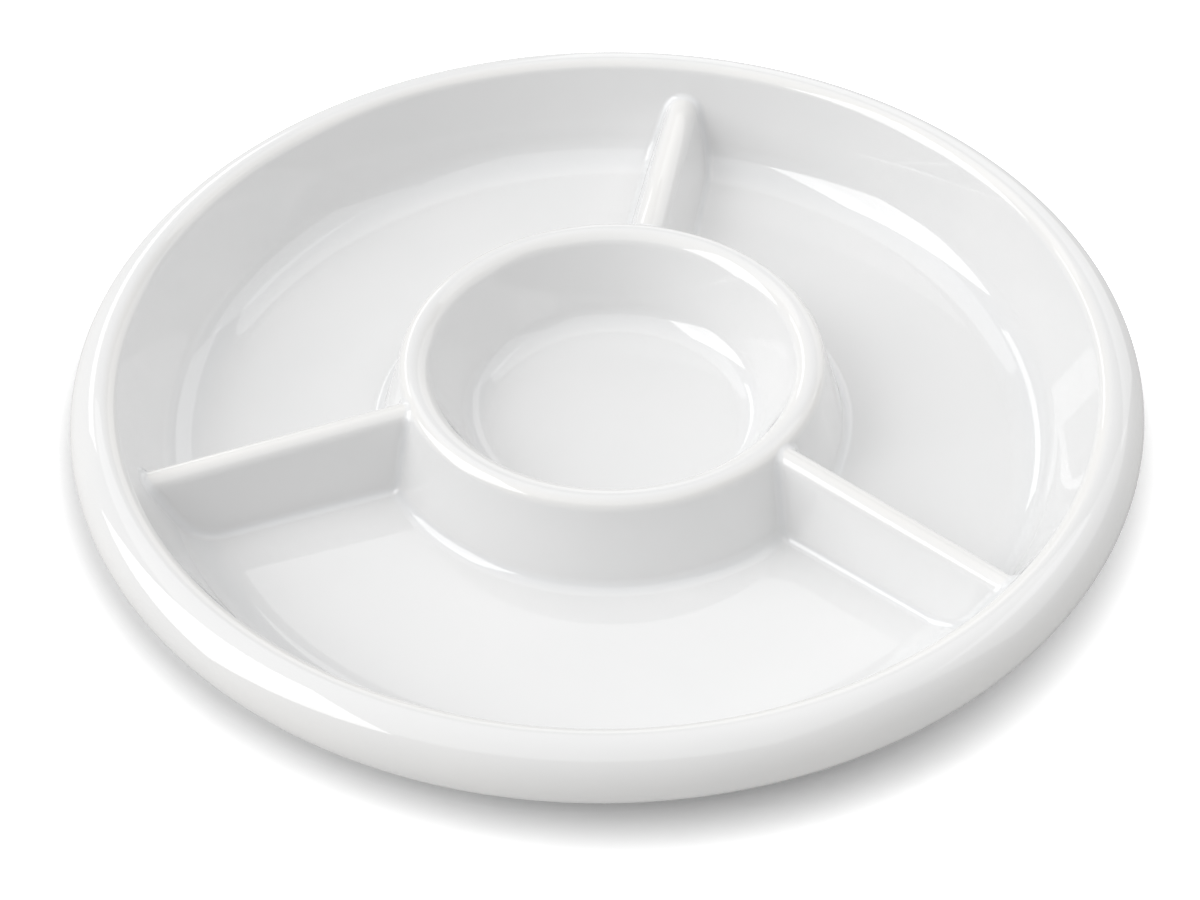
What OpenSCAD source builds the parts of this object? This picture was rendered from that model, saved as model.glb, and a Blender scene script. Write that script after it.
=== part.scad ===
/* [Whole dish] */
// Diameter over the rolled rim
overall_d = 305; // [280:1:340]
// Height from the table to the crest of the rim
overall_h = 44; // [42:0.5:50]

/* [Base and wall] */
// Thickness of the floor and of the outer wall
clay_t = 6.5; // [5:0.25:7.5]
// Lean of the outer wall from the vertical
wall_lean = 22; // [18:1:25]
// Radius of the hollow where the floor turns up into the wall
floor_hollow_r = 14; // [11:0.5:15]
// Width of flat floor that belongs to the wall piece
wall_foot_w = 2; // [1:0.5:4]

/* [Rolled rim] */
// Radius of the rim's outer roll
roll_outer_r = 9.8; // [8:0.1:10.5]
// Radius of the rim's inner edge
roll_inner_r = 4.5; // [4:0.1:5.5]
// Depth of the joint between wall and rim below the rim's crest
rim_joint_depth = 5.5; // [5:0.25:7]

/* [Foot ring] */
// Outer diameter of the foot ring where it stands
foot_d = 216; // [200:1:224]
// Height of the foot ring
foot_h = 5.5; // [4:0.25:7]
// Width of the foot ring where it stands
foot_w = 7; // [5:0.5:9]
// Rounding of the foot ring's lower edges
foot_edge_r = 1.25; // [1:0.25:2]
// Width that the foot ring gains on each side where it meets the base
foot_flare = 1.5; // [1:0.25:2]

/* [Centre bowl] */
// Diameter over the roll of the centre bowl
bowl_d = 124.2; // [116:0.2:130]
// Height of the centre bowl above the dish's floor
bowl_h = 25.5; // [24.5:0.5:28]
// Outer radius of the centre bowl's roll
bowl_roll_outer_r = 4.1; // [3.8:0.1:4.5]
// Inner radius of the centre bowl's roll
bowl_roll_inner_r = 5.8; // [5.2:0.1:6.2]
// Lean of the centre bowl's outside from the vertical
bowl_outside_lean = 17; // [14:1:18]
// Lean of the centre bowl's inside from the vertical
bowl_inside_lean = 25; // [21:1:28]
// Radius of the hollow round the centre bowl's floor
bowl_hollow_r = 9; // [7:0.5:11]
// Width of the roof of the hollow under the centre bowl's roll
bowl_roof_w = 2.6; // [2:0.1:3]
// Radius of the glazed corner round the foot of the centre bowl
bowl_corner_r = 4.5; // [4:0.1:5]
// Width of flat floor that belongs to the centre bowl's wall
bowl_foot_w = 1.1; // [0.5:0.1:2]

/* [Dividers] */
// Width of the rear divider's round crest
rear_divider_t = 11; // [9.5:0.1:12]
// Width of the two front dividers' round crests
front_divider_t = 7.8; // [7:0.1:9]
// Draft of the rear divider's sides from the vertical
rear_divider_draft = 16; // [10:1:18]
// Draft of the front dividers' sides from the vertical
front_divider_draft = 10; // [6:1:14]
// Height of a divider above the floor at the centre bowl
divider_h_inner = 24.1; // [22:0.1:24.4]
// Height of a divider above the floor at the outer wall
divider_h_outer = 21.9; // [20:0.1:23]
// Radius of the glazed corner along a divider's foot
divider_corner_r = 2.8; // [2:0.1:4]
// Turn of the rear divider from +X
divider_turn = 90; // [60:1:120]

/* [Hidden] */
$fn = 96;

// Widest turn of one straight step in an arc of a section
arc_step = 10;
// How far a glazed corner is sunk past the faces it joins, so that it crosses them cleanly
corner_sink = 0.05;
// The dividers share the turn of the dish evenly
divider_count = 3;
divider_step = 360 / divider_count;

// Levels of the underside and of the floor
underside_z = foot_h;
floor_z = foot_h + clay_t;

// The rim's section: an outer and an inner arc that meet at the crest
crest_r = overall_d / 2 - roll_outer_r;
roll_outer = [crest_r, overall_h - roll_outer_r];
roll_inner = [crest_r, overall_h - roll_inner_r];
rim_joint_z = overall_h - rim_joint_depth;

// Points of an arc about a centre, from one angle to another
function arc(centre, r, from, to) =
    let (steps = ceil(abs(to - from) / arc_step))
    [for (i = [0:steps]) let (a = from + (to - from) * i / steps) centre + r * [cos(a), sin(a)]];

// The leaning wall leaves the rim's inner arc here
wall_top = roll_inner + roll_inner_r * [-cos(wall_lean), sin(wall_lean)];

// Radius of the wall at a height and a depth into the clay
function wall_r(z, depth) = wall_top.x - (wall_top.y - z) * tan(wall_lean) + depth / cos(wall_lean);

// Centre of the arcs that turn the floor up into the wall
hollow_z = floor_z + floor_hollow_r;
hollow = [wall_r(hollow_z, 0) - floor_hollow_r / cos(wall_lean), hollow_z];
base_r = hollow.x - wall_foot_w;

// Angle at which the rim's roll runs back onto the outside of the wall
roll_offset = (wall_r(roll_outer.y, clay_t) - crest_r) * cos(wall_lean);
roll_end = asin(roll_offset / roll_outer_r) - wall_lean - 90;

// The centre bowl's section, laid out like the rim's
bowl_top_z = floor_z + bowl_h;
bowl_crest_r = bowl_d / 2 - bowl_roll_outer_r;
bowl_roll_outer = [bowl_crest_r, bowl_top_z - bowl_roll_outer_r];
bowl_roll_inner = [bowl_crest_r, bowl_top_z - bowl_roll_inner_r];
outside_top = bowl_roll_outer + bowl_roll_outer_r * [cos(bowl_outside_lean), sin(bowl_outside_lean)];
inside_top = bowl_roll_inner + bowl_roll_inner_r * [-cos(bowl_inside_lean), sin(bowl_inside_lean)];

// Radius of the centre bowl's outside, and of its inside, at a height and a depth into the clay
function outside_r(z, depth) =
    outside_top.x + (outside_top.y - z) * tan(bowl_outside_lean) - depth / cos(bowl_outside_lean);
function inside_r(z, depth) =
    inside_top.x - (inside_top.y - z) * tan(bowl_inside_lean) + depth / cos(bowl_inside_lean);

// The centre bowl's floor is level with the dish's
bowl_hollow_z = floor_z + bowl_hollow_r;
bowl_hollow = [inside_r(bowl_hollow_z, 0) - bowl_hollow_r / cos(bowl_inside_lean), bowl_hollow_z];
bowl_disc_r = bowl_hollow.x - bowl_foot_w;
seat_r = outside_r(floor_z, clay_t);

// Height at which the hollow under the roll has narrowed to its roof
narrowing = tan(bowl_outside_lean) + tan(bowl_inside_lean);
roof_z = (outside_r(0, clay_t) - inside_r(0, clay_t) - bowl_roof_w) / narrowing;

// The glazed corner round the centre bowl's foot
bowl_corner_z = floor_z + bowl_corner_r;
bowl_corner = [outside_r(bowl_corner_z, 0) + bowl_corner_r / cos(bowl_outside_lean), bowl_corner_z];

// A divider runs from under the bowl's roll to inside the wall, its crest falling evenly
divider_run = wall_r(floor_z + divider_h_outer, 0) - bowl_d / 2;
divider_fall = atan((divider_h_inner - divider_h_outer) / divider_run);
divider_crest_z = floor_z + divider_h_inner + bowl_roll_outer_r * tan(divider_fall);
divider_length = crest_r - bowl_crest_r;

// Width of a divider's side from its middle to the floor, where the divider starts
function divider_foot(t, draft) =
    let (drop = (divider_crest_z - floor_z) * cos(divider_fall) - t / 2)
    (t / 2 + drop * sin(draft)) / cos(draft);

// Outline from the centre bowl's crest down its outside to the floor
bowl_outside = concat(
    arc(bowl_roll_outer, bowl_roll_outer_r, 90, bowl_outside_lean),
    arc(bowl_corner, bowl_corner_r, 180 + bowl_outside_lean, 270)
);

// Outline from the floor up the hollow to the leaning wall
wall_inside = arc(hollow, floor_hollow_r, -90, -wall_lean);

// Section of the open space between the centre bowl and the wall, where the dividers stand
module compartment_section() {
    polygon(concat(
        [[bowl_crest_r, overall_h]],
        bowl_outside,
        wall_inside,
        [wall_top, [wall_top.x, overall_h]]
    ));
}

// Section across a divider: a round crest on drafted sides, x pointing down from the crest
module divider_section(t, draft) {
    half = t / 2;
    side_x = half * (1 - sin(draft));
    low_y = half * cos(draft) + (divider_crest_z - side_x) * tan(draft);
    polygon(concat(
        arc([half, 0], half, 90 + draft, 270 - draft),
        [[divider_crest_z, -low_y], [divider_crest_z, low_y]]
    ));
}

// Section of the glazed corner outside the line where a divider's side meets the floor
module divider_corner_section(t, draft) {
    out = divider_corner_r * (1 - sin(draft)) / cos(draft);
    centre = [out, floor_z + divider_corner_r] - corner_sink * [1, 1];
    inner = -divider_foot(t, draft);
    polygon(concat(
        [[inner, 0], [inner, centre.y - divider_corner_r * sin(draft)]],
        arc(centre, divider_corner_r, 180 + draft, 270),
        [[centre.x, 0]]
    ));
}

// The glazed corner on one side. The falling crest turns it slightly inwards.
module divider_corner(t, draft) {
    inward = atan(tan(draft) * sin(divider_fall));
    translate([bowl_crest_r, divider_foot(t, draft), 0])
        rotate([0, 0, -inward])
            rotate([90, 0, 90])
                linear_extrude(height = divider_length) divider_corner_section(t, draft);
}

// A divider along +X: a rounded slab with glazed corners, trimmed to the space it stands in
module divider(t, draft) {
    intersection() {
        union() {
            translate([bowl_crest_r, 0, divider_crest_z])
                rotate([0, 90 + divider_fall, 0])
                    linear_extrude(height = divider_length) divider_section(t, draft);
            divider_corner(t, draft);
            mirror([0, 1, 0]) divider_corner(t, draft);
        }
        rotate_extrude() compartment_section();
    }
}

module foot_ring() {
    outer_r = foot_d / 2;
    inner_r = outer_r - foot_w;
    color("Linen") rotate_extrude() polygon(concat(
        [[inner_r - foot_flare, underside_z]],
        arc([inner_r + foot_edge_r, foot_edge_r], foot_edge_r, 180, 270),
        arc([outer_r - foot_edge_r, foot_edge_r], foot_edge_r, 270, 360),
        [[outer_r + foot_flare, underside_z]]
    ));
}

module base_plate() {
    color("White") rotate_extrude()
        translate([seat_r, underside_z]) square([base_r - seat_r, clay_t]);
}

module outer_wall() {
    color("White") rotate_extrude() polygon(concat(
        [[base_r, floor_z], [base_r, underside_z]],
        arc(hollow, floor_hollow_r + clay_t, -90, -wall_lean),
        [[wall_r(rim_joint_z, clay_t), rim_joint_z], [wall_r(rim_joint_z, 0), rim_joint_z]],
        arc(hollow, floor_hollow_r, -wall_lean, -90)
    ));
}

module rolled_rim() {
    color("White") rotate_extrude() polygon(concat(
        [[wall_r(rim_joint_z, clay_t), rim_joint_z], [wall_r(rim_joint_z, 0), rim_joint_z]],
        arc(roll_inner, roll_inner_r, 180 - wall_lean, 90),
        arc(roll_outer, roll_outer_r, 90, roll_end)
    ));
}

module bowl_wall() {
    color("White") rotate_extrude() polygon(concat(
        [[bowl_disc_r, underside_z], [bowl_disc_r, floor_z]],
        arc(bowl_hollow, bowl_hollow_r, -90, -bowl_inside_lean),
        arc(bowl_roll_inner, bowl_roll_inner_r, 180 - bowl_inside_lean, 90),
        bowl_outside,
        [[seat_r, floor_z], [outside_r(roof_z, clay_t), roof_z], [inside_r(roof_z, clay_t), roof_z]],
        [[inside_r(underside_z, clay_t), underside_z]]
    ));
}

module bowl_floor() {
    color("White") translate([0, 0, underside_z]) cylinder(r = bowl_disc_r, h = clay_t);
}

module divider_rear() {
    color("White") rotate([0, 0, divider_turn]) divider(rear_divider_t, rear_divider_draft);
}

module divider_left() {
    color("White") rotate([0, 0, divider_turn + divider_step])
        divider(front_divider_t, front_divider_draft);
}

module divider_right() {
    color("White") rotate([0, 0, divider_turn + 2 * divider_step])
        divider(front_divider_t, front_divider_draft);
}

foot_ring();
base_plate();
outer_wall();
rolled_rim();
bowl_wall();
bowl_floor();
divider_rear();
divider_left();
divider_right();
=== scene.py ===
"""A round, divided serving bowl in glossy white stoneware, lit on a plain pale floor.

The dish is one fired piece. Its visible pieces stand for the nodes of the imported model: turned pieces made by
one Geometry Nodes tree, and three dividers whose glazed corners are rolled along floor, wall and centre bowl.
Lengths are in millimetres and angles in degrees until a mesh is written, which is in metres.
"""

from __future__ import annotations

import logging
import math
from dataclasses import dataclass, field
from enum import Enum

import bpy
import numpy as np
from mathutils import Matrix, Quaternion, Vector


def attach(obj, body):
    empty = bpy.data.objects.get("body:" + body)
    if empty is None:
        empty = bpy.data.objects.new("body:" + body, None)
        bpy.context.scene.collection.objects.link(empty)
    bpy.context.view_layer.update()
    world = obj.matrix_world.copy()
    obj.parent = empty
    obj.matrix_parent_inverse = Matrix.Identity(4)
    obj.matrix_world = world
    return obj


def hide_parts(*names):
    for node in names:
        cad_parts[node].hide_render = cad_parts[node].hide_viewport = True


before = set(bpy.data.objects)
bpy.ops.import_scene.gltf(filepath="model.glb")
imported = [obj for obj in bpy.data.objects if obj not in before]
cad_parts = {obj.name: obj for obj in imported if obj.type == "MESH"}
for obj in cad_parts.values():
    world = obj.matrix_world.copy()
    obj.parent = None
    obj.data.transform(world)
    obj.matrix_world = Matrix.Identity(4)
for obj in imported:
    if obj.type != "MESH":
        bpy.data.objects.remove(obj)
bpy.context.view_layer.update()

log = logging.getLogger("serving_bowl")

MM = 0.001
BODY = "root"
# A corner's normal is kept only where it is within this angle of its face's own
SMOOTH_WITHIN = math.cos(math.radians(40))
# Thickness of the glaze on a plain surface, between 0 over a tight roll and 1 in a tight hollow. It also sets
# the painted highlight over rolls and the painted shade in hollows
EVEN = 0.5
# Points of a section that are nearer than this are one point, and so are vertices of a turned piece
SAME_POINT_MM = 1e-5
SAME_VERTEX_M = 1e-6
# Place, normal and glaze thickness of a point of a divider
Point = tuple[np.ndarray, np.ndarray, float]


def linear(hex_colour: str) -> tuple[float, float, float, float]:
    """Turn an sRGB hex colour into Blender's linear colour.

    Args:
        hex_colour: The colour, such as "#F2F1EE".

    Returns:
        Red, green, blue and an alpha of 1.
    """
    parts = [int(hex_colour[i : i + 2], 16) / 255 for i in (1, 3, 5)]
    r, g, b = [c / 12.92 if c <= 0.04045 else ((c + 0.055) / 1.055) ** 2.4 for c in parts]
    return r, g, b, 1.0


def add_node(
    tree: bpy.types.NodeTree, kind: str, inputs: dict | None = None, **settings: object
) -> bpy.types.Node:
    """Add a node with its settings, values and links.

    Args:
        tree: The tree that the node goes into.
        kind: The node's type name.
        inputs: Socket names or numbers, each with a value or with the socket that feeds it.
        **settings: Properties of the node itself, set before its sockets.

    Returns:
        The node.
    """
    node = tree.nodes.new(kind)
    for name, value in settings.items():
        setattr(node, name, value)
    for name, value in (inputs or {}).items():
        if isinstance(value, bpy.types.NodeSocket):
            tree.links.new(value, node.inputs[name])
        else:
            node.inputs[name].default_value = value
    return node


def new_material(name: str) -> tuple[bpy.types.Material, bpy.types.NodeTree]:
    """Make a material with an empty tree.

    Args:
        name: Its name.

    Returns:
        The material and its tree.
    """
    material = bpy.data.materials.new(name)
    material.use_nodes = True
    material.node_tree.nodes.clear()
    return material, material.node_tree


def new_object(name: str, data: bpy.types.ID) -> bpy.types.Object:
    """Put an object into the scene.

    Args:
        name: Its name.
        data: Its mesh, lamp or camera.

    Returns:
        The object.
    """
    made = bpy.data.objects.new(name, data)
    bpy.context.scene.collection.objects.link(made)
    return made


class Curl(Enum):
    """Which way the glazed surface bends along an arc of a section."""

    ROLL = 1
    HOLLOW = -1


@dataclass
class Section:
    """The outline of a turned piece, walked with its clay on the right.

    Two parts that don't meet are joined by a straight seam, which lies hidden against a neighbour.
    """

    closed: bool = True
    arc_step: float = 4.0
    # Radius at which a bend thins or pools the glaze to the full, and paints a roll lightest and a hollow
    # darkest
    full_bend: float = 4.0
    places: list[tuple[float, float]] = field(default_factory=list)
    normals: list[tuple[float, float]] = field(default_factory=list)
    glaze: list[float] = field(default_factory=list)

    def _add(self, place: tuple[float, float], normal: tuple[float, float], glaze: float) -> None:
        """Add a point, unless the outline already stands on it.

        Args:
            place: Its radius and height.
            normal: The surface's normal there.
            glaze: The glaze's thickness there.
        """
        if not self.places or math.dist(self.places[-1], place) > SAME_POINT_MM:
            self.places.append(place)
            self.normals.append(normal)
            self.glaze.append(glaze)

    def line(self, *corners: tuple[float, float]) -> Section:
        """Walk straight from corner to corner.

        Args:
            *corners: Radius and height of each corner.

        Returns:
            The section, so that calls can be chained.
        """
        for (r0, z0), (r1, z1) in zip(corners, corners[1:]):
            length = math.dist((r0, z0), (r1, z1))
            normal = ((z0 - z1) / length, (r1 - r0) / length)
            self._add((r0, z0), normal, EVEN)
            self._add((r1, z1), normal, EVEN)
        return self

    def arc(self, centre: tuple[float, float], radius: float, start: float, end: float) -> Section:
        """Walk along an arc. A falling angle is a roll, a rising one a hollow.

        Args:
            centre: Radius and height of the arc's centre.
            radius: The arc's radius.
            start: Angle at which the walk begins.
            end: Angle at which it ends.

        Returns:
            The section, so that calls can be chained.
        """
        curl = Curl.ROLL if end < start else Curl.HOLLOW
        bend = min(1.0, self.full_bend / radius)
        steps = max(2, math.ceil(abs(end - start) / self.arc_step))
        for i in range(steps + 1):
            angle = math.radians(start + (end - start) * i / steps)
            way = (math.cos(angle), math.sin(angle))
            # Glaze creeps off a roll and pools in a hollow, most at the arc's middle. The colour shows this as
            # a painted highlight on the roll and painted shade in the hollow
            drift = curl.value * bend * math.sin(math.pi * i / steps) ** 2
            self._add(
                (centre[0] + radius * way[0], centre[1] + radius * way[1]),
                (curl.value * way[0], curl.value * way[1]),
                EVEN - EVEN * drift,
            )
        return self


class Lathe:
    """Turns sections into closed pieces with one Geometry Nodes tree."""

    def __init__(self, steps_round: int = 480) -> None:
        """Build the tree.

        Args:
            steps_round: Facets round the axis.
        """
        self.steps_round = steps_round
        self.tree = self._tree()

    @staticmethod
    def _tree() -> bpy.types.NodeTree:
        """Build the tree that turns a section's points about the Z axis.

        Returns:
            A Geometry Nodes tree with the inputs Section, Steps Round, Closed and Finish.
        """
        tree = bpy.data.node_groups.new("turn_section", "GeometryNodeTree")
        for name, kind in (
            ("Section", "NodeSocketGeometry"),
            ("Steps Round", "NodeSocketInt"),
            ("Closed", "NodeSocketInt"),
            ("Finish", "NodeSocketMaterial"),
        ):
            tree.interface.new_socket(name, in_out="INPUT", socket_type=kind)
        tree.interface.new_socket("Piece", in_out="OUTPUT", socket_type="NodeSocketGeometry")
        given = add_node(tree, "NodeGroupInput").outputs
        size = add_node(tree, "GeometryNodeAttributeDomainSize", {"Geometry": given["Section"]})
        points = size.outputs["Point Count"]
        rows = add_node(tree, "FunctionNodeIntegerMath", {0: points, 1: given["Closed"]}, operation="ADD")
        turns = add_node(tree, "FunctionNodeIntegerMath", {0: given["Steps Round"], 1: 1}, operation="ADD")
        grid = add_node(
            tree,
            "GeometryNodeMeshGrid",
            {"Vertices X": turns.outputs[0], "Vertices Y": rows.outputs[0]},
        )
        index = add_node(tree, "GeometryNodeInputIndex").outputs[0]
        column = add_node(
            tree, "FunctionNodeIntegerMath", {0: index, 1: rows.outputs[0]}, operation="DIVIDE_FLOOR"
        )
        row = add_node(tree, "FunctionNodeIntegerMath", {0: index, 1: rows.outputs[0]}, operation="MODULO")
        point = add_node(tree, "FunctionNodeIntegerMath", {0: row.outputs[0], 1: points}, operation="MODULO")
        share = add_node(
            tree, "ShaderNodeMath", {0: column.outputs[0], 1: given["Steps Round"]}, operation="DIVIDE"
        )
        angle = add_node(tree, "ShaderNodeMath", {0: share.outputs[0], 1: math.tau}, operation="MULTIPLY")
        sources = {
            "place": add_node(tree, "GeometryNodeInputPosition"),
            "surface": add_node(
                tree, "GeometryNodeInputNamedAttribute", {"Name": "surface"}, data_type="FLOAT_VECTOR"
            ),
            "glaze": add_node(tree, "GeometryNodeInputNamedAttribute", {"Name": "glaze"}, data_type="FLOAT"),
        }
        # Each value is read at the vertex's point of the section, and a vector is turned round to the vertex
        carried = {}
        for name, source in sources.items():
            inputs = {"Geometry": given["Section"], "Value": source.outputs[0], "Index": point.outputs[0]}
            kind = "FLOAT" if name == "glaze" else "FLOAT_VECTOR"
            carried[name] = add_node(tree, "GeometryNodeSampleIndex", inputs, data_type=kind)
            if kind == "FLOAT_VECTOR":
                inputs = {"Vector": carried[name].outputs[0], "Angle": angle.outputs[0]}
                carried[name] = add_node(tree, "ShaderNodeVectorRotate", inputs, rotation_type="Z_AXIS")
        piece = add_node(
            tree,
            "GeometryNodeSetPosition",
            {"Geometry": grid.outputs["Mesh"], "Position": carried["place"].outputs[0]},
        )
        for name, kind in (("surface", "FLOAT_VECTOR"), ("glaze", "FLOAT")):
            piece = add_node(
                tree,
                "GeometryNodeStoreNamedAttribute",
                {"Geometry": piece.outputs[0], "Name": name, "Value": carried[name].outputs[0]},
                data_type=kind,
                domain="POINT",
            )
        merged = add_node(
            tree, "GeometryNodeMergeByDistance", {"Geometry": piece.outputs[0], "Distance": SAME_VERTEX_M}
        )
        smooth = add_node(tree, "GeometryNodeSetShadeSmooth", {"Geometry": merged.outputs[0]})
        real = add_node(tree, "GeometryNodeRealizeInstances", {"Geometry": smooth.outputs[0]})
        dressed = add_node(
            tree, "GeometryNodeSetMaterial", {"Geometry": real.outputs[0], "Material": given["Finish"]}
        )
        add_node(tree, "NodeGroupOutput", {"Piece": dressed.outputs[0]})
        return tree

    def turn(self, name: str, section: Section, finish: bpy.types.Material) -> bpy.types.Object:
        """Turn a section into a piece.

        Args:
            name: The piece's name.
            section: Its outline.
            finish: Its material.

        Returns:
            The piece, as a plain mesh with exact normals.
        """
        count = len(section.places)
        outline = bpy.data.meshes.new(name + "_section")
        places = [(r * MM, 0.0, z * MM) for r, z in section.places]
        outline.from_pydata(places, [(i, i + 1) for i in range(count - 1)], [])
        surface = outline.attributes.new("surface", "FLOAT_VECTOR", "POINT")
        surface.data.foreach_set("vector", np.array([(r, 0.0, z) for r, z in section.normals]).ravel())
        outline.attributes.new("glaze", "FLOAT", "POINT").data.foreach_set("value", section.glaze)
        holder = new_object(name + "_holder", outline)
        modifier = holder.modifiers.new("turn", "NODES")
        modifier.node_group = self.tree
        values = {"Steps Round": self.steps_round, "Closed": int(section.closed), "Finish": finish}
        for socket in self.tree.interface.items_tree:
            if socket.name in values:
                modifier[socket.identifier] = values[socket.name]
        depsgraph = bpy.context.evaluated_depsgraph_get()
        mesh = bpy.data.meshes.new_from_object(holder.evaluated_get(depsgraph), depsgraph=depsgraph)
        holder.modifiers.remove(modifier)
        bpy.data.objects.remove(holder)
        bpy.data.meshes.remove(outline)
        return finish_piece(name, mesh)


def corner_normals(mesh: bpy.types.Mesh, exact: np.ndarray) -> tuple[np.ndarray, np.ndarray]:
    """Look up the normals at each face corner of a mesh.

    Args:
        mesh: The mesh.
        exact: The exact normal at each of its vertices.

    Returns:
        The exact normal and the face's own, with a row for each corner.
    """
    corners = np.empty(len(mesh.loops), np.int32)
    mesh.loops.foreach_get("vertex_index", corners)
    sizes = np.empty(len(mesh.polygons), np.int32)
    mesh.polygons.foreach_get("loop_total", sizes)
    flat = np.empty(len(mesh.polygons) * 3, np.float32)
    mesh.polygons.foreach_get("normal", flat)
    return exact[corners], np.repeat(flat.reshape(-1, 3), sizes, axis=0)


def finish_piece(name: str, mesh: bpy.types.Mesh) -> bpy.types.Object:
    """Give a mesh its exact normals, from its surface attribute, and make it a piece.

    Args:
        name: The piece's name.
        mesh: Its mesh, with a surface vector on each vertex.

    Returns:
        The piece, in the scene, with its faces outwards.
    """
    exact = np.empty(len(mesh.vertices) * 3, np.float32)
    mesh.attributes["surface"].data.foreach_get("vector", exact)
    mesh.attributes.remove(mesh.attributes["surface"])
    exact = exact.reshape(-1, 3)
    wanted, flat = corner_normals(mesh, exact)
    if (wanted * flat).sum() < 0:
        mesh.flip_normals()
        wanted, flat = corner_normals(mesh, exact)
    near = (wanted * flat).sum(1) > SMOOTH_WITHIN
    mesh.normals_split_custom_set(np.where(near[:, None], wanted, flat))
    mesh.name = name
    return new_object(name, mesh)


def fit(piece: bpy.types.Object, node: str) -> None:
    """Put a piece in its CAD node's place on the one body and report it.

    Args:
        piece: The piece.
        node: The node that it stands for.
    """
    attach(piece, BODY)
    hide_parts(node)
    log.info("%s stands for %s: %d faces", piece.name, node, len(piece.data.polygons))


@dataclass(frozen=True)
class GlazedStoneware:
    """White zircon glaze on slip-cast stoneware, dipped and fired glossy.

    The eye sees an even, opaque white under a clear, wet-looking surface. The glaze is thinnest and a little
    warm over rolls, where the clay warms it, and thickest and a little cool in hollows, where it ran
    together. On top of that tint, the colour is painted lighter over rolls as a painted highlight, and darker
    in hollows as painted shade.
    """

    # Over a roll, on a plain surface, in a hollow, and in a cloud. The roll's colour is lighter, a painted
    # highlight, and the hollow's is darker, painted shade
    thin_and_painted_light: str = "#ECEBE9"
    even: str = "#E9E9E9"
    pooled_and_painted_shade: str = "#E5E6E7"
    cloud: str = "#E3E4E4"
    # Matched to how strong the highlights are. A fired feldspar glaze has typically 1.5 to 1.6
    ior: float = 1.75
    roughness: float = 0.02
    roughness_spread: float = 0.012
    # The slow swell that dipping leaves, and the fine skin over it
    swell_mm: float = 26.0
    swell_depth_mm: float = 0.02
    skin_mm: float = 2.2
    skin_depth_mm: float = 0.0012
    # Faint clouds in the glaze: their size, the noise that they begin and are full at, and their share then
    cloud_mm: float = 38.0
    cloud_edge: tuple[float, float] = (0.4, 0.75)
    cloud_share: float = 0.35
    # The clouds' noise stays between these
    noise_span: tuple[float, float] = (0.25, 0.75)

    def material(self) -> bpy.types.Material:
        """Build the glaze.

        Returns:
            The material.
        """
        material, tree = new_material("glazed_stoneware")
        self.shade(tree, add_node(tree, "ShaderNodeOutputMaterial").inputs["Surface"])
        return material

    def shade(self, tree: bpy.types.NodeTree, surface: bpy.types.NodeSocket) -> None:
        """Lay the glaze's nodes into a tree.

        Args:
            tree: The material's tree.
            surface: The socket that the glaze feeds.
        """
        place = add_node(tree, "ShaderNodeTexCoord").outputs["Object"]
        thickness = add_node(tree, "ShaderNodeAttribute", attribute_name="glaze").outputs["Fac"]
        # Painted highlight and painted shade: the glaze's thickness makes the colour lighter and warmer over
        # rolls and darker and cooler in hollows
        tint_and_painted_shade = add_node(tree, "ShaderNodeValToRGB", {"Fac": thickness})
        stops = tint_and_painted_shade.color_ramp.elements
        stops[0].position, stops[0].color = 0.0, linear(self.thin_and_painted_light)
        stops[1].position, stops[1].color = 1.0, linear(self.pooled_and_painted_shade)
        stops.new(EVEN).color = linear(self.even)
        clouds = add_node(
            tree,
            "ShaderNodeTexNoise",
            {"Vector": place, "Scale": 1 / (self.cloud_mm * MM), "Detail": 3.0, "Roughness": 0.45},
        )
        veil = add_node(
            tree,
            "ShaderNodeMapRange",
            {
                "Value": clouds.outputs["Fac"],
                "From Min": self.cloud_edge[0],
                "From Max": self.cloud_edge[1],
                "To Max": self.cloud_share,
            },
        )
        colour = add_node(
            tree,
            "ShaderNodeMix",
            {"Factor": veil.outputs[0], 6: tint_and_painted_shade.outputs["Color"], 7: linear(self.cloud)},
            data_type="RGBA",
        )
        skin = add_node(
            tree,
            "ShaderNodeTexNoise",
            {"Vector": place, "Scale": 1 / (self.skin_mm * MM), "Detail": 2.0},
        )
        swell = add_node(
            tree,
            "ShaderNodeTexNoise",
            {"Vector": place, "Scale": 1 / (self.swell_mm * MM), "Detail": 1.0},
        )
        gloss = add_node(
            tree,
            "ShaderNodeMapRange",
            {
                "Value": clouds.outputs["Fac"],
                "From Min": self.noise_span[0],
                "From Max": self.noise_span[1],
                "To Min": self.roughness - self.roughness_spread / 2,
                "To Max": self.roughness + self.roughness_spread / 2,
            },
        )
        fine = add_node(
            tree,
            "ShaderNodeBump",
            {"Height": skin.outputs["Fac"], "Distance": self.skin_depth_mm * MM},
        )
        relief = add_node(
            tree,
            "ShaderNodeBump",
            {
                "Height": swell.outputs["Fac"],
                "Distance": self.swell_depth_mm * MM,
                "Normal": fine.outputs["Normal"],
            },
        )
        shader = add_node(
            tree,
            "ShaderNodeBsdfPrincipled",
            {
                "Base Color": colour.outputs[2],
                "Roughness": gloss.outputs[0],
                "Normal": relief.outputs["Normal"],
                "IOR": self.ior,
            },
        )
        tree.links.new(shader.outputs[0], surface)


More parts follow.
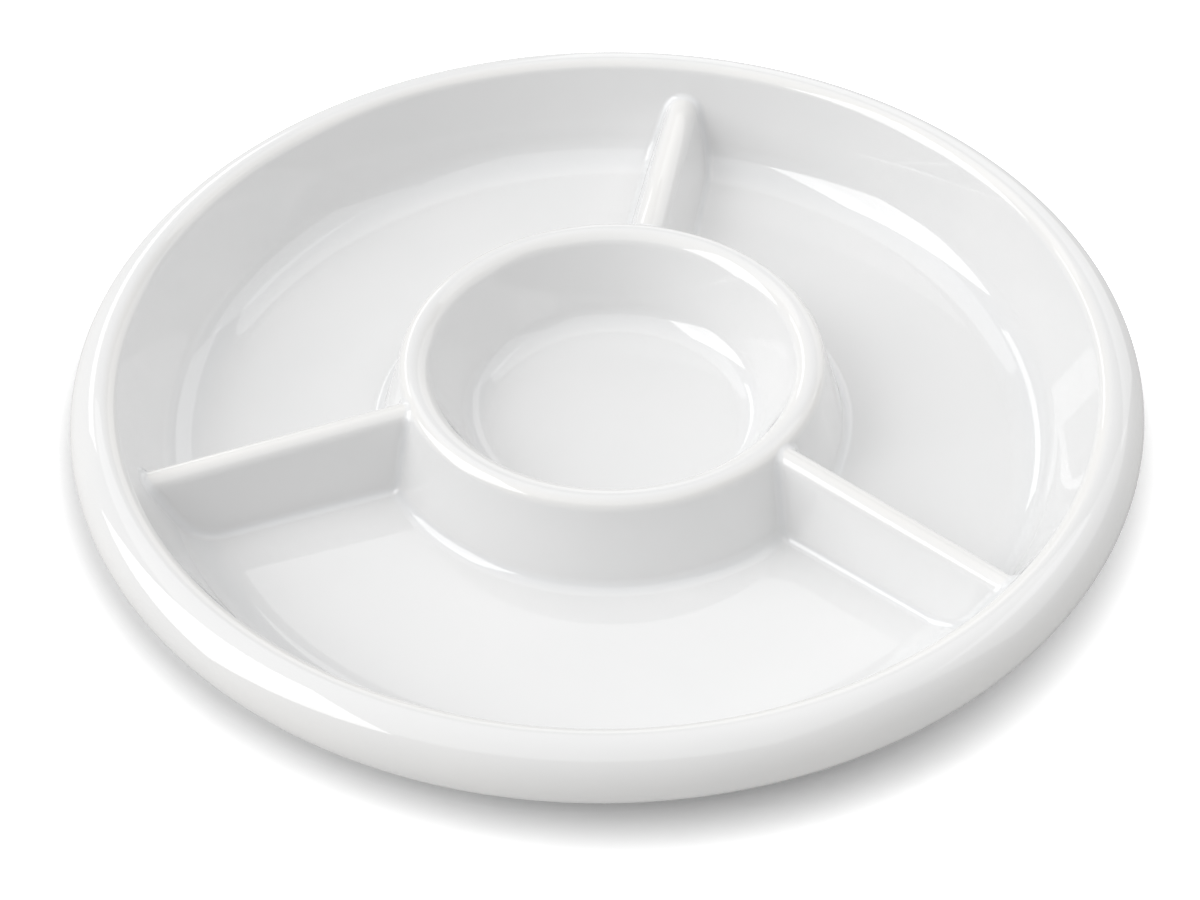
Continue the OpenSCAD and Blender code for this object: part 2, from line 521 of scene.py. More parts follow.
@dataclass(frozen=True)
class WipedFoot:
    """The bare, fired clay of a foot whose glaze was wiped off with a damp sponge.

    The eye sees a dry, warm off-white with fine grains of grog, and a slightly uneven line where the glaze
    starts.
    """

    clay: str = "#DCD5C8"
    grog: str = "#B9AE9C"
    roughness: float = 0.85
    ior: float = 1.5
    # Grains of grog: their spacing, the shares of it at which they begin to fade and end, and their strength
    grog_mm: float = 0.8
    grog_edge: tuple[float, float] = (0.1, 0.25)
    grog_share: float = 0.8
    # The clay's own rough grain
    grain_mm: float = 0.5
    grain_depth_mm: float = 0.04
    # Height at which the wiped band ends, and how far its line wanders
    line_mm: float = 1.6
    wander_mm: float = 0.5
    wander_size_mm: float = 9.0

    def material(self, glaze: GlazedStoneware) -> bpy.types.Material:
        """Build the foot's finish: bare clay below, glaze above.

        Args:
            glaze: The glaze that starts above the wiped band.

        Returns:
            The material.
        """
        material, tree = new_material("wiped_foot")
        place = add_node(tree, "ShaderNodeTexCoord").outputs["Object"]
        height = add_node(tree, "ShaderNodeSeparateXYZ", {0: place}).outputs["Z"]
        drift = add_node(
            tree,
            "ShaderNodeTexNoise",
            {"Vector": place, "Scale": 1 / (self.wander_size_mm * MM), "Detail": 2.0},
        )
        wander = add_node(
            tree,
            "ShaderNodeMapRange",
            {
                "Value": drift.outputs["Fac"],
                "To Min": (self.line_mm - self.wander_mm) * MM,
                "To Max": (self.line_mm + self.wander_mm) * MM,
            },
        )
        above = add_node(tree, "ShaderNodeMath", {0: height, 1: wander.outputs[0]}, operation="GREATER_THAN")
        specks = add_node(tree, "ShaderNodeTexVoronoi", {"Vector": place, "Scale": 1 / (self.grog_mm * MM)})
        speckled = add_node(
            tree,
            "ShaderNodeMapRange",
            {
                "Value": specks.outputs["Distance"],
                "From Min": self.grog_edge[0],
                "From Max": self.grog_edge[1],
                "To Min": self.grog_share,
                "To Max": 0.0,
            },
        )
        colour = add_node(
            tree,
            "ShaderNodeMix",
            {"Factor": speckled.outputs[0], 6: linear(self.clay), 7: linear(self.grog)},
            data_type="RGBA",
        )
        grain = add_node(
            tree,
            "ShaderNodeTexNoise",
            {"Vector": place, "Scale": 1 / (self.grain_mm * MM), "Detail": 4.0},
        )
        relief = add_node(
            tree,
            "ShaderNodeBump",
            {"Height": grain.outputs["Fac"], "Distance": self.grain_depth_mm * MM},
        )
        bare = add_node(
            tree,
            "ShaderNodeBsdfPrincipled",
            {
                "Base Color": colour.outputs[2],
                "Roughness": self.roughness,
                "Normal": relief.outputs["Normal"],
                "IOR": self.ior,
            },
        )
        mix = add_node(tree, "ShaderNodeMixShader", {0: above.outputs[0], 1: bare.outputs[0]})
        glaze.shade(tree, mix.inputs[2])
        add_node(tree, "ShaderNodeOutputMaterial", {"Surface": mix.outputs[0]})
        return material


@dataclass
class Shell:
    """The base plate, the outer wall and the rolled rim."""

    overall_d: float = 305.0
    overall_h: float = 44.0
    clay_t: float = 6.5
    foot_h: float = 5.5
    wall_lean: float = 22.0
    floor_hollow_r: float = 14.0
    wall_foot_w: float = 2.0
    roll_outer_r: float = 9.8
    roll_inner_r: float = 4.5
    rim_joint_depth: float = 5.5
    # Glaze that pools in the corner under the roll, and the softened edge round the hollow centre's foot
    pool_r: float = 2.5
    edge_r: float = 1.5
    # A long bend as in the roll and the hollow still shows its glaze thin or pooled, and so painted lighter on
    # the roll and darker in the hollow
    long_bend: float = 8.0

    def __post_init__(self) -> None:
        """Work out the places that follow from the sizes."""
        self.floor_z = self.foot_h + self.clay_t
        self.crest_r = self.overall_d / 2 - self.roll_outer_r
        self.roll_outer = (self.crest_r, self.overall_h - self.roll_outer_r)
        self.roll_inner = (self.crest_r, self.overall_h - self.roll_inner_r)
        lean = math.radians(self.wall_lean)
        self.wall_top = (
            self.crest_r - self.roll_inner_r * math.cos(lean),
            self.roll_inner[1] + self.roll_inner_r * math.sin(lean),
        )
        hollow_z = self.floor_z + self.floor_hollow_r
        self.hollow = (self.wall_r(hollow_z) - self.floor_hollow_r / math.cos(lean), hollow_z)
        self.base_r = self.hollow[0] - self.wall_foot_w
        self.joint_z = self.overall_h - self.rim_joint_depth

    def wall_r(self, z: float, depth: float = 0.0) -> float:
        """Radius of the leaning wall.

        Args:
            z: Height.
            depth: Depth into the clay, from the inside face.

        Returns:
            The radius at that height and depth.
        """
        lean = math.radians(self.wall_lean)
        return self.wall_top[0] - (self.wall_top[1] - z) * math.tan(lean) + depth / math.cos(lean)

    def on_wall(self, radius: float) -> tuple[float, float]:
        """Place where an arc about the hollow's centre runs into the wall."""
        lean = math.radians(self.wall_lean)
        return self.hollow[0] + radius * math.cos(lean), self.hollow[1] - radius * math.sin(lean)

    def base_plate(self, seat_r: float, floor_from_r: float) -> Section:
        """Outline of the flat base: floor above, underside below.

        Args:
            seat_r: Inner radius, under the centre bowl's wall.
            floor_from_r: Where the centre bowl's glazed corner ends on the floor.

        Returns:
            The outline.
        """
        inner, low = seat_r + self.edge_r, self.foot_h + self.edge_r
        return (
            Section()
            .line((floor_from_r, self.floor_z), (self.base_r, self.floor_z))
            .line((self.base_r, self.foot_h), (inner, self.foot_h))
            .arc((inner, low), self.edge_r, -90, -180)
            .line((seat_r, low), (seat_r, self.floor_z))
        )

    def outer_wall(self) -> Section:
        """Outline of the hollow and the leaning wall.

        Returns:
            The outline.
        """
        low, high = -90.0, -self.wall_lean
        outside_r = self.floor_hollow_r + self.clay_t
        return (
            Section(arc_step=3.0, full_bend=self.long_bend)
            .line((self.base_r, self.floor_z), (self.hollow[0], self.floor_z))
            .arc(self.hollow, self.floor_hollow_r, low, high)
            .line(self.on_wall(self.floor_hollow_r), (self.wall_r(self.joint_z), self.joint_z))
            .line((self.wall_r(self.joint_z, self.clay_t), self.joint_z), self.on_wall(outside_r))
            .arc(self.hollow, outside_r, high, low)
            .line((self.hollow[0], self.foot_h), (self.base_r, self.foot_h))
        )

    def rolled_rim(self) -> Section:
        """Outline of the roll, with the glaze that pools under it.

        Returns:
            The outline.
        """
        lean = math.radians(self.wall_lean)
        reach = self.roll_outer_r + self.pool_r
        offset = (self.wall_r(self.roll_outer[1], self.clay_t) - self.crest_r) * math.cos(lean)
        end = -self.wall_lean - math.degrees(math.acos((offset + self.pool_r) / reach))
        pool = (
            self.crest_r + reach * math.cos(math.radians(end)),
            self.roll_outer[1] + reach * math.sin(math.radians(end)),
        )
        return (
            Section(arc_step=3.0, full_bend=self.long_bend)
            .line((self.wall_r(self.joint_z), self.joint_z), self.wall_top)
            .arc(self.roll_inner, self.roll_inner_r, 180 - self.wall_lean, 90)
            .arc(self.roll_outer, self.roll_outer_r, 90, end)
            .arc(pool, self.pool_r, end + 180, 180 - self.wall_lean)
            .line((self.wall_r(self.joint_z, self.clay_t), self.joint_z))
        )

    def build(self, lathe: Lathe, bowl: CentreBowl, glaze: bpy.types.Material) -> None:
        """Make and place the three pieces.

        Args:
            lathe: The lathe that turns them.
            bowl: The centre bowl, whose foot the base plate runs round.
            glaze: Their material.
        """
        plate = self.base_plate(bowl.seat_r, bowl.corner[0])
        fit(lathe.turn("glazed_base_plate", plate, glaze), "base_plate")
        fit(lathe.turn("glazed_outer_wall", self.outer_wall(), glaze), "outer_wall")
        fit(lathe.turn("glazed_rolled_rim", self.rolled_rim(), glaze), "rolled_rim")


@dataclass
class CentreBowl:
    """The raised bowl for dip: its wall and its flat floor."""

    floor_z: float
    clay_t: float
    bowl_d: float = 124.2
    bowl_h: float = 25.5
    roll_outer_r: float = 4.1
    roll_inner_r: float = 5.8
    outside_lean: float = 17.0
    inside_lean: float = 25.0
    # Bend from the bowl's floor up its inside, and glazed corner at its foot outside
    hollow_r: float = 9.0
    corner_r: float = 4.5
    # Flat roof of the hollow inside the wall, and flat strip where the wall joins the bowl's floor
    roof_w: float = 2.6
    foot_w: float = 1.1

    def __post_init__(self) -> None:
        """Work out the places that follow from the sizes."""
        outside, inside = math.radians(self.outside_lean), math.radians(self.inside_lean)
        top_z = self.floor_z + self.bowl_h
        self.crest_r = self.bowl_d / 2 - self.roll_outer_r
        self.roll_outer = (self.crest_r, top_z - self.roll_outer_r)
        self.roll_inner = (self.crest_r, top_z - self.roll_inner_r)
        self.outside_top = (
            self.crest_r + self.roll_outer_r * math.cos(outside),
            self.roll_outer[1] + self.roll_outer_r * math.sin(outside),
        )
        self.inside_top = (
            self.crest_r - self.roll_inner_r * math.cos(inside),
            self.roll_inner[1] + self.roll_inner_r * math.sin(inside),
        )
        self.under_z = self.floor_z - self.clay_t
        hollow_z = self.floor_z + self.hollow_r
        self.hollow = (self.inside_r(hollow_z) - self.hollow_r / math.cos(inside), hollow_z)
        self.disc_r = self.hollow[0] - self.foot_w
        corner_z = self.floor_z + self.corner_r
        self.corner = (self.outside_r(corner_z) + self.corner_r / math.cos(outside), corner_z)
        self.seat_r = self.outside_r(self.floor_z, self.clay_t)
        gap = self.outside_r(0, self.clay_t) - self.inside_r(0, self.clay_t) - self.roof_w
        self.roof_z = gap / (math.tan(outside) + math.tan(inside))

    def outside_r(self, z: float, depth: float = 0.0) -> float:
        """Radius of the bowl's outside at a height and a depth into the clay."""
        lean = math.radians(self.outside_lean)
        return self.outside_top[0] + (self.outside_top[1] - z) * math.tan(lean) - depth / math.cos(lean)

    def inside_r(self, z: float, depth: float = 0.0) -> float:
        """Radius of the bowl's inside at a height and a depth into the clay."""
        lean = math.radians(self.inside_lean)
        return self.inside_top[0] - (self.inside_top[1] - z) * math.tan(lean) + depth / math.cos(lean)

    def outside(self, section: Section) -> Section:
        """Walk a section from the bowl's crest down its outside to the floor."""
        return section.arc(self.roll_outer, self.roll_outer_r, 90, self.outside_lean).arc(
            self.corner, self.corner_r, 180 + self.outside_lean, 270
        )

    def wall(self) -> Section:
        """Outline of the bowl's wall, with the open hollow beneath its roll.

        Returns:
            The outline.
        """
        rise = (
            Section(arc_step=3.0)
            .line((self.disc_r, self.floor_z), (self.hollow[0], self.floor_z))
            .arc(self.hollow, self.hollow_r, -90, -self.inside_lean)
            .arc(self.roll_inner, self.roll_inner_r, 180 - self.inside_lean, 90)
        )
        return self.outside(rise).line(
            (self.seat_r, self.floor_z),
            (self.outside_r(self.roof_z, self.clay_t), self.roof_z),
            (self.inside_r(self.roof_z, self.clay_t), self.roof_z),
            (self.inside_r(self.under_z, self.clay_t), self.under_z),
            (self.disc_r, self.under_z),
        )

    def floor(self) -> Section:
        """Outline of the flat disc, open at the axis."""
        return (
            Section(closed=False)
            .line((0.0, self.floor_z), (self.disc_r, self.floor_z))
            .line((self.disc_r, self.under_z), (0.0, self.under_z))
        )

    def build(self, lathe: Lathe, glaze: bpy.types.Material) -> None:
        """Make and place the two pieces."""
        fit(lathe.turn("glazed_bowl_wall", self.wall(), glaze), "bowl_wall")
        fit(lathe.turn("glazed_bowl_floor", self.floor(), glaze), "bowl_floor")


@dataclass
class FootRing:
    """The ring that the dish stands on."""

    foot_d: float = 216.0
    foot_h: float = 5.5
    foot_w: float = 7.0
    edge_r: float = 1.25
    flare: float = 1.5

    def section(self) -> Section:
        """Outline of the ring.

        Returns:
            The outline.
        """
        outer, edge = self.foot_d / 2, self.edge_r
        inner = outer - self.foot_w
        return (
            Section(arc_step=9.0)
            .line((outer + self.flare, self.foot_h), (outer, edge))
            .arc((outer - edge, edge), edge, 0, -90)
            .arc((inner + edge, edge), edge, -90, -180)
            .line((inner, edge), (inner - self.flare, self.foot_h))
        )

    def build(self, lathe: Lathe, foot: bpy.types.Material) -> None:
        """Make and place the ring."""
        fit(lathe.turn("fired_foot_ring", self.section(), foot), "foot_ring")


@dataclass
class Divider:
    """One divider, joined to floor, wall and centre bowl by a corner of glaze.

    Its crest is round and its sides are drafted. A ball rolled along the corner gives the corner its shape:
    the glaze's surface is the arc between the two places where the ball touches the divider and the dish.
    """

    shell: Shell
    bowl: CentreBowl
    place: str
    # Turn from +X
    turn: float
    thickness: float
    draft: float
    h_inner: float = 24.1
    h_outer: float = 21.9
    ball_r: float = 2.8
    # Steps across the glazed corner, up a side to the crest, round the crest's end and along the floor
    corner_steps: int = 14
    face_steps: int = 20
    ridge_steps: int = 18
    floor_steps: int = 24
    # Share of a face's steps that its straight part gets
    straight_share: float = 0.3
    # Depth of the hidden underside below the glazed corner's edge
    tuck: float = 0.6
    # Rounds in which the ball's centre settles, and the distance at which two of its places are one
    settle_rounds: int = 30
    same_ball_mm: float = 1e-3
    # Vertices are one where they agree to this many parts of a millimetre
    vertex_parts: float = 1e4

    def __post_init__(self) -> None:
        """Work out the crest's axis, the directions and the tracks that the ball's centre keeps to."""
        self.half = self.thickness / 2
        self.slope = math.radians(self.draft)
        run = self.shell.wall_r(self.shell.floor_z + self.h_outer) - self.bowl.bowl_d / 2
        fall = math.atan((self.h_inner - self.h_outer) / run)
        self.along = np.array([math.cos(fall), 0.0, -math.sin(fall)])
        self.up = np.array([math.sin(fall), 0.0, math.cos(fall)])
        self.across = np.array([0.0, 1.0, 0.0])
        crest = np.array([self.bowl.bowl_d / 2, 0.0, self.shell.floor_z + self.h_inner])
        self.axis = crest - self.half * self.up
        # Length round the crest from where the drafted side ends to the top
        self.top = self.half * (math.pi / 2 - self.slope)
        self.near, self.flat, self.far = self._tracks()

    def _facing(self, angle: float) -> np.ndarray:
        """Normal of the crest, from an angle of the draft at its edge to a quarter turn at its top."""
        return math.cos(angle) * self.across + math.sin(angle) * self.up

    def _tracks(self) -> tuple[np.ndarray, np.ndarray, np.ndarray]:
        """Places of the ball's centre beside the bowl, on the floor and beside the wall.

        Returns:
            Three tables with a row for each place: radius, height, and the dish's normal there.
        """
        near = self.bowl.outside(Section(arc_step=2.0))
        far = (
            Section(arc_step=3.0)
            .arc(self.shell.hollow, self.shell.floor_hollow_r, -90, -self.shell.wall_lean)
            .line(self.shell.on_wall(self.shell.floor_hollow_r), self.shell.wall_top)
        )
        tables = []
        for section in (near, far):
            places, normals = np.array(section.places), np.array(section.normals)
            tables.append(np.hstack([places + self.ball_r * normals, normals]))
        near_table, far_table = tables
        share = np.linspace(0, 1, self.floor_steps + 2)[1:-1, None]
        flat = near_table[-1] * (1 - share) + far_table[0] * share
        return near_table, flat, far_table

    def _on_flat_side(self, row: np.ndarray) -> np.ndarray | None:
        """The ball's centre for a row of a track, where it touches the divider's straight side.

        Args:
            row: Radius, height and the dish's normal.

        Returns:
            Centre and the dish's normal, or None where the side has already rounded over.
        """
        radius, z, normal_r, normal_z = row
        reach, x = self.half + self.ball_r, radius
        for _ in range(self.settle_rounds):
            rise = (np.array([x, 0.0, z]) - self.axis) @ self.up
            y = (reach - rise * math.sin(self.slope)) / math.cos(self.slope)
            x = math.sqrt(radius**2 - y**2)
        centre = np.array([x, y, z])
        if self._way(centre) >= 0:
            return None
        return np.array([x, y, z, normal_r * x / radius, normal_r * y / radius, normal_z])

    def _way(self, centre: np.ndarray) -> float:
        """Length up the side at which the ball touches it, 0 where the crest's round begins."""
        rise = (centre - self.axis) @ self.up
        return rise * math.cos(self.slope) - centre[1] * math.sin(self.slope)

    def _over_ridge(self, track: np.ndarray, angle: float) -> np.ndarray:
        """The ball's centre where it touches the divider's round crest.

        Args:
            track: The track beside the bowl or the wall.
            angle: How far round the crest it touches, in radians, from the draft at its edge to the top.

        Returns:
            Centre and the dish's normal.
        """
        reach = self.half + self.ball_r
        y, rise = reach * math.cos(angle), reach * math.sin(angle)
        track = track[np.argsort(track[:, 1])]
        z = self.axis[2] + rise
        for _ in range(self.settle_rounds):
            radius = np.interp(z, track[:, 1], track[:, 0])
            x = math.sqrt(radius**2 - y**2)
            run = (x - self.axis[0] - rise * self.up[0]) / self.along[0]
            z = self.axis[2] + run * self.along[2] + rise * self.up[2]
        normal_r, normal_z = (np.interp(z, track[:, 1], track[:, i]) for i in (2, 3))
        length = math.hypot(normal_r, normal_z)
        normal_r, normal_z = normal_r / length, normal_z / length
        return np.array([x, y, z, normal_r * x / radius, normal_r * y / radius, normal_z])

    def _ball_centres(self) -> tuple[np.ndarray, np.ndarray]:
        """All places of the ball's centre on one side, from crest to crest by way of the floor.

        Returns:
            A table of centres with the dish's normals, and for each the way up the side and round the crest.
        """
        angles = np.linspace(self.slope, math.pi / 2, self.ridge_steps + 1)
        ridge = [(angle - self.slope) * self.half for angle in angles]
        centres = [self._over_ridge(self.near, angle) for angle in angles[::-1]]
        ways = ridge[::-1]
        for row in np.vstack([self.near, self.flat, self.far]):
            centre = self._on_flat_side(row)
            if centre is not None:
                centres.append(centre)
                ways.append(self._way(centre[:3]))
        centres += [self._over_ridge(self.far, angle) for angle in angles]
        ways += ridge
        table = np.array(centres)
        apart = np.append(1.0, np.linalg.norm(np.diff(table, axis=0), axis=1)) > self.same_ball_mm
        return table[apart], np.array(ways)[apart]

    def _face_point(self, run: float, way: float) -> Point:
        """A point of the divider from its unrolled place.

        Args:
            run: Length along the axis.
            way: Length up the side and on round the crest, 0 where the crest's round begins.

        Returns:
            The point.
        """
        normal = self._facing(self.slope + max(way, 0.0) / self.half)
        place = self.axis + run * self.along + self.half * normal
        if way < 0:
            place = place + way * (math.cos(self.slope) * self.up - math.sin(self.slope) * self.across)
        # The glaze thins towards the crest's top, which the colour shows as a painted highlight
        thinned_and_painted_light = math.sin(max(way, 0.0) / self.top * math.pi / 2) ** 2
        return place, normal, EVEN - EVEN * thinned_and_painted_light

    def _corner(self, centre: np.ndarray, run: float, way: float) -> list[Point]:
        """Points across the glazed corner at one place of the ball.

        Args:
            centre: The ball's centre and the dish's normal.
            run: Length along the axis at which the ball touches the divider.
            way: Length up the side and on round the crest at which it does.

        Returns:
            The points, from the dish to the divider.
        """
        to_dish, to_side = centre[3:], self._facing(self.slope + max(way, 0.0) / self.half)
        sweep = math.acos(np.clip(to_dish @ to_side, -1, 1))
        points = []
        for i in range(self.corner_steps + 1):
            t = i / self.corner_steps
            swept = math.sin((1 - t) * sweep) * to_dish + math.sin(t * sweep) * to_side
            normal = swept / math.sin(sweep)
            # Glaze pools in the corner, most at its middle, which the colour shows as painted shade
            pooled_and_painted_shade = EVEN + EVEN * math.sin(math.pi * t) ** 2 * math.sin(sweep)
            if i == self.corner_steps:
                pooled_and_painted_shade = self._face_point(run, way)[2]
            points.append((centre[:3] - self.ball_r * normal, normal, pooled_and_painted_shade))
        return points

    def _side(self) -> list[list[Point]]:
        """Rows of points across one side, each from the dish up the glazed corner to the crest.

        Returns:
            The points for each place of the ball.
        """
        centres, ways = self._ball_centres()
        runs = (centres[:, :3] - self.axis) @ self.along
        steps = np.hypot(np.diff(runs), np.diff(ways))
        share = np.append(0.0, np.cumsum(steps)) / steps.sum()
        straight = round(self.straight_share * self.face_steps)
        rows = []
        for centre, run, way, part in zip(centres, runs, ways, share):
            row = self._corner(centre, run, way)
            goal = runs[0] + (runs[-1] - runs[0]) * part
            # Share of the row at which the crest's round begins, where the straight part's steps end
            bend = max(-way / max(self.top - way, SAME_POINT_MM), self.straight_share / 2)
            for i in range(1, self.face_steps + 1):
                if i <= straight:
                    t = bend * i / straight
                else:
                    t = bend + (1 - bend) * (i - straight) / (self.face_steps - straight)
                row.append(self._face_point(run + (goal - run) * t, way + (self.top - way) * t))
            rows.append(row)
        return rows

    def _mesh(self, name: str, finish: bpy.types.Material) -> bpy.types.Mesh:
        """Build the divider's closed mesh.

        Args:
            name: The mesh's name.
            finish: Its material.

        Returns:
            The mesh, with its surface and glaze attributes.
        """
        rows = self._side()
        spun = np.array(Matrix.Rotation(math.radians(self.turn), 3, "Z"))
        flip = np.array([1.0, -1.0, 1.0])
        found: dict[tuple[int, int, int], int] = {}
        places, normals, glazes = [], [], []

        def vertex(place: np.ndarray, normal: np.ndarray, glaze: float) -> int:
            """Find the vertex at a place, or make it.

            Args:
                place: Its place, before the divider is turned.
                normal: Its normal there.
                glaze: Its glaze thickness.

            Returns:
                Its number.
            """
            key = tuple(int(c) for c in np.round(place * self.vertex_parts))
            if key not in found:
                found[key] = len(places)
                places.append(spun @ place * MM)
                normals.append(spun @ normal)
                glazes.append(glaze)
            return found[key]

        faces = []

        def face(*corners: int) -> None:
            """Add a face, without corners that fall together.

            Args:
                *corners: The numbers of its vertices.
            """
            kept = [c for i, c in enumerate(corners) if c != corners[i - 1]]
            if len(set(kept)) > 2:
                faces.append(kept)

        right, left = [
            [[vertex(place * way, normal * way, glaze) for place, normal, glaze in row] for row in rows]
            for way in (np.ones(3), flip)
        ]
        for i in range(len(rows) - 1):
            for k in range(len(rows[0]) - 1):
                face(right[i][k], right[i][k + 1], right[i + 1][k + 1], right[i + 1][k])
                face(left[i][k], left[i + 1][k], left[i + 1][k + 1], left[i][k + 1])
        below = []
        for row in rows:
            place, normal, _ = row[0]
            middle = (place - self.tuck * normal) * np.array([1.0, 0.0, 1.0])
            below.append(vertex(middle, -normal, EVEN))
        for i in range(len(rows) - 1):
            face(right[i][0], right[i + 1][0], below[i + 1], below[i])
            face(below[i], below[i + 1], left[i + 1][0], left[i][0])
        for end, order in ((0, 1), (-1, -1)):
            corners = [right[end][0], below[end], left[end][0]]
            face(*corners[::order])
        mesh = bpy.data.meshes.new(name)
        mesh.from_pydata(places, [], faces)
        mesh.shade_smooth()
        mesh.materials.append(finish)
        surface = mesh.attributes.new("surface", "FLOAT_VECTOR", "POINT")
        surface.data.foreach_set("vector", np.array(normals).ravel())
        mesh.attributes.new("glaze", "FLOAT", "POINT").data.foreach_set("value", glazes)
        return mesh

    def build(self, glaze: bpy.types.Material) -> None:
        """Make and place the divider."""
        name = f"glazed_divider_{self.place}"
        fit(finish_piece(name, self._mesh(name, glaze)), f"divider_{self.place}")


@dataclass(frozen=True)
class Softbox:
    """A rectangular studio lamp that points at the dish."""

    name: str
    # Azimuth from +X and elevation, as seen from the dish
    azimuth: float
    elevation: float
    distance_m: float
    width_m: float
    height_m: float
    power_w: float
    # Turn about the line to the dish
    spin: float = 0.0
    # Place in the dish that it points at
    aim: tuple[float, float, float] = (0.0, 0.0, 0.02)
    colour: str = "#FFFFFF"

    def build(self) -> None:
        """Hang the lamp."""
        lamp = bpy.data.lights.new(self.name, "AREA")
        lamp.shape = "RECTANGLE"
        lamp.size, lamp.size_y = self.width_m, self.height_m
        lamp.energy = self.power_w
        lamp.color = linear(self.colour)[:3]
        azimuth, elevation = math.radians(self.azimuth), math.radians(self.elevation)
        level = math.cos(elevation)
        way = Vector((math.cos(azimuth) * level, math.sin(azimuth) * level, math.sin(elevation)))
        spin = Quaternion((0.0, 0.0, 1.0), math.radians(self.spin))
        holder = new_object(self.name, lamp)
        holder.location = Vector(self.aim) + way * self.distance_m
        holder.rotation_euler = (way.to_track_quat("Z", "Y") @ spin).to_euler()


@dataclass
class Studio:
    """The floor, the surroundings, the lamps and the camera."""

    # Ends before the lamps' light does, so that low views see the white room beyond it
    floor_size_m: float = 2.4
    floor_colour: str = "#E6E6E6"
    # How much brighter the floor shows than it lights the dish: not at all by the dish, more further out, so
    # that the shadow under the rim stays and the paper around it is white. This is painted light, set by place
    # on the floor, and it draws where the dish's shadow ends
    floor_painted_gain: tuple[float, float] = (1.0, 2.3)
    floor_painted_gain_from_mm: tuple[float, float] = (161.0, 179.6)
    floor_painted_gain_centre_mm: tuple[float, float] = (-9.8, 30.0)
    # How many times nearer that begins behind the dish
    floor_painted_gain_nearer_behind: float = 1.25
    # How bright the floor shows in the glaze
    floor_mirrored: float = 0.86
    sky: str = "#FFFFFF"
    # How bright the room is as light on the dish, and as seen in its glaze
    sky_strength: float = 0.41
    sky_mirrored: float = 0.68
    # The fitted camera: where it stands, which ways are to its right and behind it, its turn about its line
    # of sight, and its sideways shift as a share of the picture's width
    lens_mm: float = 57.95
    sensor_mm: float = 36.0
    eye_mm: tuple[float, float, float] = (79.02, -410.35, 409.4)
    right: tuple[float, float, float] = (0.99263, 0.12121, 0.0)
    back: tuple[float, float, float] = (0.08634, -0.70707, 0.70186)
    roll: float = 1.738
    shift_x: float = -0.09125
    clip_m: tuple[float, float] = (0.01, 50.0)
    # The large key lamp makes the broad highlights, the strip the streak in the right compartment's hollow.
    # The others are so large that their light is even, and they don't stand out in the glaze
    softboxes: tuple[Softbox, ...] = (
        Softbox(
            "key_softbox_left",
            azimuth=198.0,
            elevation=34.0,
            distance_m=4.0,
            width_m=3.03,
            height_m=3.55,
            power_w=80.0,
            spin=-24.5,
        ),
        Softbox(
            "overhead_softbox",
            azimuth=180.0,
            elevation=85.0,
            distance_m=1.4,
            width_m=2.4,
            height_m=2.4,
            power_w=12.0,
        ),
        Softbox(
            "strip_behind_left",
            azimuth=135.5,
            elevation=24.0,
            distance_m=1.5,
            width_m=0.86,
            height_m=0.26,
            power_w=1.15,
            spin=31.0,
        ),
        Softbox(
            "low_panel_behind",
            azimuth=75.0,
            elevation=20.0,
            distance_m=1.4,
            width_m=1.5,
            height_m=0.7,
            power_w=2.3,
        ),
        Softbox(
            "fill_panel_right",
            azimuth=20.0,
            elevation=40.0,
            distance_m=1.3,
            width_m=1.1,
            height_m=0.8,
            power_w=1.6,
        ),
    )

    def build(self) -> None:
        """Build the whole studio."""
        self.floor()
        self.surroundings()
        for softbox in self.softboxes:
            softbox.build()
        self.camera()

    def floor(self) -> None:
        """Lay the pale floor, which keeps the dish's shadow and is painted brighter further out, so it shows
        white there.
        """
        half = self.floor_size_m / 2
        corners = [(-half, -half, 0), (half, -half, 0), (half, half, 0), (-half, half, 0)]
        mesh = bpy.data.meshes.new("floor")
        mesh.from_pydata(corners, [], [(0, 1, 2, 3)])
        mesh.materials.append(self.paper())
        new_object("floor", mesh)

    def paper(self) -> bpy.types.Material:
        """Build the floor's matt white paper, painted brighter to the camera away from the dish.

        Returns:
            The material.
        """
        material, tree = new_material("matt_white_paper")
        path = add_node(tree, "ShaderNodeLightPath").outputs
        place = add_node(tree, "ShaderNodeTexCoord").outputs["Object"]
        x, y = self.floor_painted_gain_centre_mm
        offset = add_node(
            tree, "ShaderNodeVectorMath", {0: place, 1: (x * MM, y * MM, 0.0)}, operation="SUBTRACT"
        )
        behind = add_node(
            tree,
            "ShaderNodeVectorMath",
            {0: offset.outputs[0], 1: (1.0, self.floor_painted_gain_nearer_behind, 1.0)},
            operation="MULTIPLY",
        )
        oval = add_node(
            tree, "ShaderNodeVectorMath", {0: offset.outputs[0], 1: behind.outputs[0]}, operation="MAXIMUM"
        )
        reach = add_node(tree, "ShaderNodeVectorMath", {0: oval.outputs[0]}, operation="LENGTH")
        # Painted light: the floor is painted brighter to the camera away from the dish, which draws where its
        # shadow ends
        start, end = self.floor_painted_gain_from_mm
        painted_gain = add_node(
            tree,
            "ShaderNodeMapRange",
            {
                "Value": reach.outputs["Value"],
                "From Min": start * MM,
                "From Max": end * MM,
                "To Min": self.floor_painted_gain[0],
                "To Max": self.floor_painted_gain[1],
            },
        )
        mirrored = add_node(
            tree,
            "ShaderNodeMapRange",
            {"Value": path["Is Glossy Ray"], "To Min": 1.0, "To Max": self.floor_mirrored},
        )
        shown = add_node(
            tree,
            "ShaderNodeMapRange",
            {"Value": path["Is Camera Ray"], "To Min": mirrored.outputs[0], "To Max": painted_gain.outputs[0]},
        )
        colour = add_node(
            tree,
            "ShaderNodeVectorMath",
            {0: linear(self.floor_colour)[:3], "Scale": shown.outputs[0]},
            operation="SCALE",
        )
        matt = add_node(tree, "ShaderNodeBsdfDiffuse", {"Color": colour.outputs[0]})
        add_node(tree, "ShaderNodeOutputMaterial", {"Surface": matt.outputs[0]})
        return material

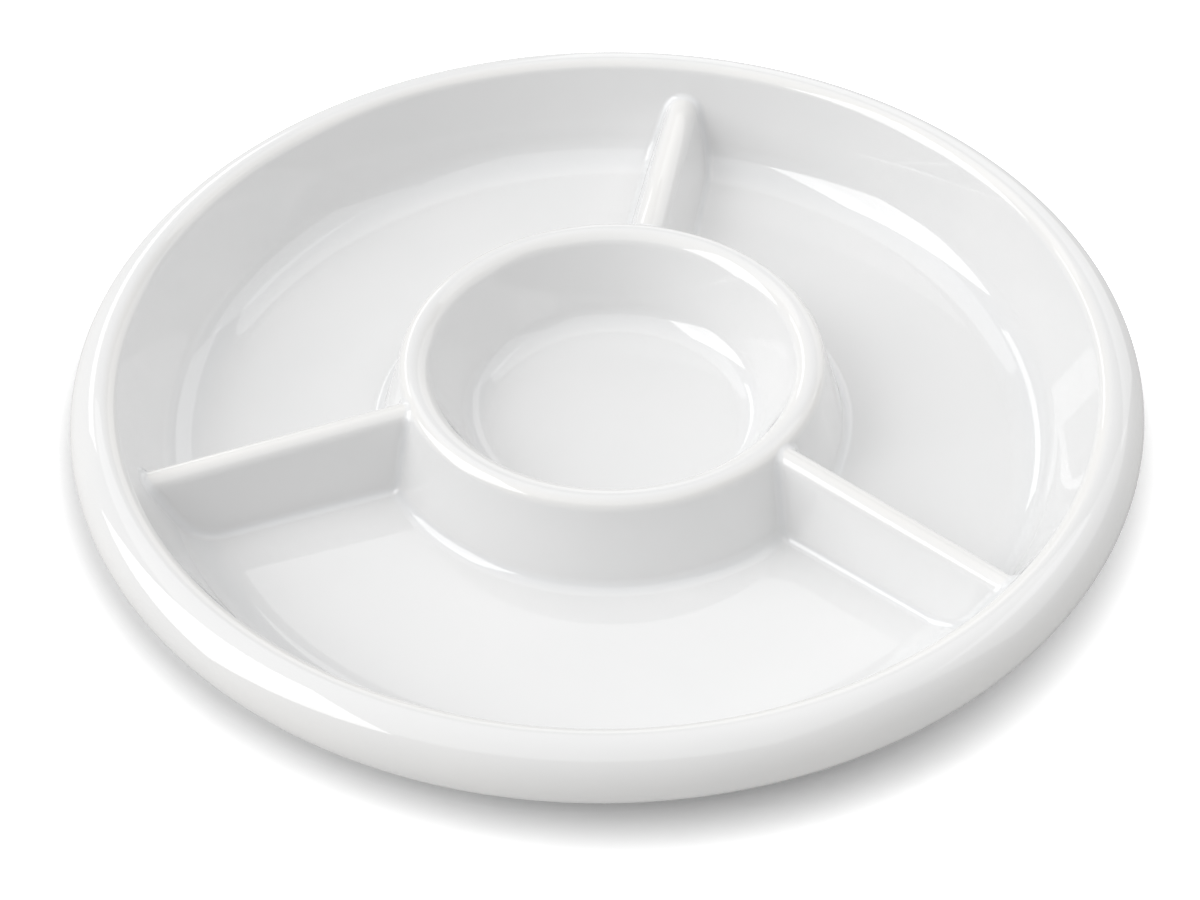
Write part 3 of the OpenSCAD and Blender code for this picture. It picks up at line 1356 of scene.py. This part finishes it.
    def surroundings(self) -> None:
        """Surround the dish with an even room, plain white to the camera and a little darker in the glaze."""
        world = bpy.data.worlds.new("white_room")
        bpy.context.scene.world = world
        world.use_nodes = True
        tree = world.node_tree
        tree.nodes.clear()
        path = add_node(tree, "ShaderNodeLightPath").outputs
        mirrored = add_node(
            tree,
            "ShaderNodeMapRange",
            {"Value": path["Is Glossy Ray"], "To Min": self.sky_strength, "To Max": self.sky_mirrored},
        )
        strength = add_node(
            tree,
            "ShaderNodeMapRange",
            {"Value": path["Is Camera Ray"], "To Min": mirrored.outputs[0], "To Max": 1.0},
        )
        room = add_node(
            tree, "ShaderNodeBackground", {"Color": linear(self.sky), "Strength": strength.outputs[0]}
        )
        add_node(tree, "ShaderNodeOutputWorld", {"Surface": room.outputs[0]})

    def camera(self) -> None:
        """Set the camera at the photograph's viewing angle."""
        scene = bpy.context.scene
        camera = bpy.data.cameras.new("camera")
        camera.lens, camera.sensor_width = self.lens_mm, self.sensor_mm
        camera.shift_x = self.shift_x
        camera.clip_start, camera.clip_end = self.clip_m
        right, back = Vector(self.right), Vector(self.back)
        turn = Matrix((right, back.cross(right), back)).transposed().to_4x4()
        roll = Matrix.Rotation(math.radians(self.roll), 4, "Z")
        holder = new_object("camera", camera)
        holder.matrix_world = Matrix.Translation(Vector(self.eye_mm) * MM) @ (turn @ roll)
        scene.camera = holder
        scene.view_settings.view_transform = "Standard"


def main() -> None:
    """Build the dish, then the studio."""
    logging.basicConfig(level=logging.INFO, format="%(name)s: %(message)s")
    glaze_finish = GlazedStoneware()
    glaze = glaze_finish.material()
    lathe = Lathe()
    shell = Shell()
    bowl = CentreBowl(shell.floor_z, shell.clay_t)
    shell.build(lathe, bowl, glaze)
    bowl.build(lathe, glaze)
    Divider(shell, bowl, "rear", 90.0, thickness=11.0, draft=16.0).build(glaze)
    Divider(shell, bowl, "left", 210.0, thickness=7.8, draft=10.0).build(glaze)
    Divider(shell, bowl, "right", 330.0, thickness=7.8, draft=10.0).build(glaze)
    FootRing().build(lathe, WipedFoot().material(glaze_finish))
    Studio().build()


if __name__ == "__main__":
    main()
